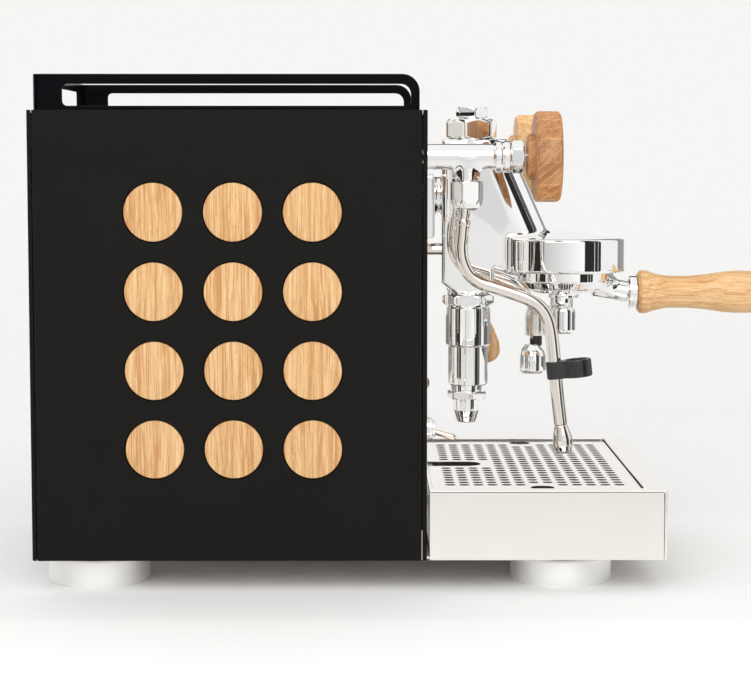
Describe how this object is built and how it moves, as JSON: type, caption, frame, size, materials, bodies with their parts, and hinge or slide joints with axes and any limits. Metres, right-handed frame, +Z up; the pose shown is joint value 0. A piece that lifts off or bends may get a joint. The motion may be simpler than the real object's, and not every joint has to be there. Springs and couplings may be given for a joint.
{
  "type": "espresso machine",
  "caption": "Lever-group espresso machine with a boxed case, cup rail, two valve wands with round knobs, a locking portafilter and a pull-out drip tray.",
  "frame": {"origin": "centre of the overall box, on the surface that the feet stand on", "axes": "+Z up; -Y is the front, where the group and portafilter are; +X is the user's right"},
  "size_m": [0.274, 0.546, 0.3447],
  "materials": {
    "black_paint": "matt black powder coat",
    "gloss_black": "gloss black enamel",
    "stainless": "bright stainless sheet",
    "chrome": "polished chrome plate",
    "satin_steel": "satin stainless tube",
    "aluminium": "brushed turned aluminium",
    "oak_light": "oiled light oak",
    "oak_dark": "oiled darker oak",
    "copper": "bare copper",
    "brass": "bare brass",
    "rubber": "black silicone rubber",
    "black_plastic": "moulded black plastic",
    "grey_plastic": "moulded grey plastic",
    "clear_plastic": "translucent tank plastic",
    "lamp": "amber lens"
  },
  "bodies": {
    "case": {"chassis": "stainless", "front_panel": "stainless", "rear_panel": "stainless", "top_plate": "stainless", "side_panel_left": "black_paint", "side_panel_right": "black_paint", "backing_panels": "black_paint", "wood_discs": "oak_light", "feet": "aluminium", "water_tank": "clear_plastic", "tank_lid": "black_plastic", "boiler": "copper", "heating_element": "brass", "safety_valve": "brass", "pressurestat": "black_plastic", "pump": "black_plastic", "control_box": "grey_plastic", "thermo_pipes": "copper", "feed_pipes": "copper", "water_hoses": "clear_plastic", "group_body": "chrome", "group_cap": "chrome", "group_cap_nut": "chrome", "group_gasket": "rubber", "shower_screen": "stainless", "cam_nut": "chrome", "lower_chamber": "chrome", "drain_nozzle": "chrome", "valve_bodies": "chrome", "gland_nuts": "chrome", "wand_nuts": "chrome", "switch_bezel": "chrome", "pilot_lamp": "lamp", "pressure_gauge": "chrome", "power_inlet": "black_plastic", "panel_screws": "stainless"},
    "cup_shelf": {"cup_tray": "gloss_black", "cup_rail": "gloss_black"},
    "tray": {"drip_tray": "stainless"},
    "grate": {"drip_grate": "stainless"},
    "lever": {"lever_cam": "chrome", "brew_lever": "chrome", "lever_grip": "oak_light"},
    "portafilter_set": {"portafilter": "chrome", "filter_basket": "stainless", "double_spout": "chrome", "handle_ferrule": "chrome", "portafilter_handle": "oak_light"},
    "steam_knob_set": {"steam_spindle": "chrome", "steam_knob": "oak_dark"},
    "water_knob_set": {"water_spindle": "chrome", "water_knob": "oak_light"},
    "steam_wand_set": {"steam_wand": "satin_steel", "steam_tip": "satin_steel", "wand_grip": "rubber"},
    "water_wand_set": {"water_wand": "satin_steel", "water_sleeve": "satin_steel", "water_nozzle": "chrome"},
    "toggle": {"switch_lever": "chrome"},
    "needle": {"gauge_needle": "black_plastic"}
  },
  "joints": [
    {"name": "cup_shelf_lift", "type": "slide", "parent": "case", "child": "cup_shelf", "axis": [0, 0, 1], "range_m": [0, 0.06]},
    {"name": "drip_tray_slide", "type": "slide", "parent": "case", "child": "tray", "axis": [0, -1, 0], "range_m": [0, 0.165]},
    {"name": "grate_lift", "type": "slide", "parent": "tray", "child": "grate", "axis": [0, 0, 1], "range_m": [0, 0.015]},
    {"name": "brew_lever_lift", "type": "hinge", "parent": "case", "child": "lever", "pos_m": [0.03, -0.0245, 0.207], "axis": [-1, 0, 0], "range_deg": [0, 75]},
    {"name": "portafilter_twist", "type": "hinge", "parent": "case", "child": "portafilter_set", "pos_m": [0, -0.0935, 0.207], "axis": [0, 0, 1], "range_deg": [-50, 0]},
    {"name": "steam_knob_turn", "type": "hinge", "parent": "case", "child": "steam_knob_set", "pos_m": [-0.092, -0.072, 0.29], "axis": [0, -1, 0], "range_deg": [0, 360]},
    {"name": "water_knob_turn", "type": "hinge", "parent": "case", "child": "water_knob_set", "pos_m": [0.092, -0.072, 0.29], "axis": [0, -1, 0], "range_deg": [0, 360]},
    {"name": "steam_wand_swivel", "type": "hinge", "parent": "case", "child": "steam_wand_set", "pos_m": [-0.092, -0.019, 0.266], "axis": [0, 0, 1], "range_deg": [-80, 25]},
    {"name": "water_wand_swivel", "type": "hinge", "parent": "case", "child": "water_wand_set", "pos_m": [0.092, -0.019, 0.266], "axis": [0, 0, 1], "range_deg": [-25, 80]},
    {"name": "power_toggle", "type": "hinge", "parent": "case", "child": "toggle", "pos_m": [-0.097, 0.0065, 0.105], "axis": [-1, 0, 0], "range_deg": [0, 28]},
    {"name": "gauge_needle_turn", "type": "hinge", "parent": "case", "child": "needle", "pos_m": [0.092, 0.011, 0.137], "axis": [0, 1, 0], "range_deg": [0, 240]}
  ]
}
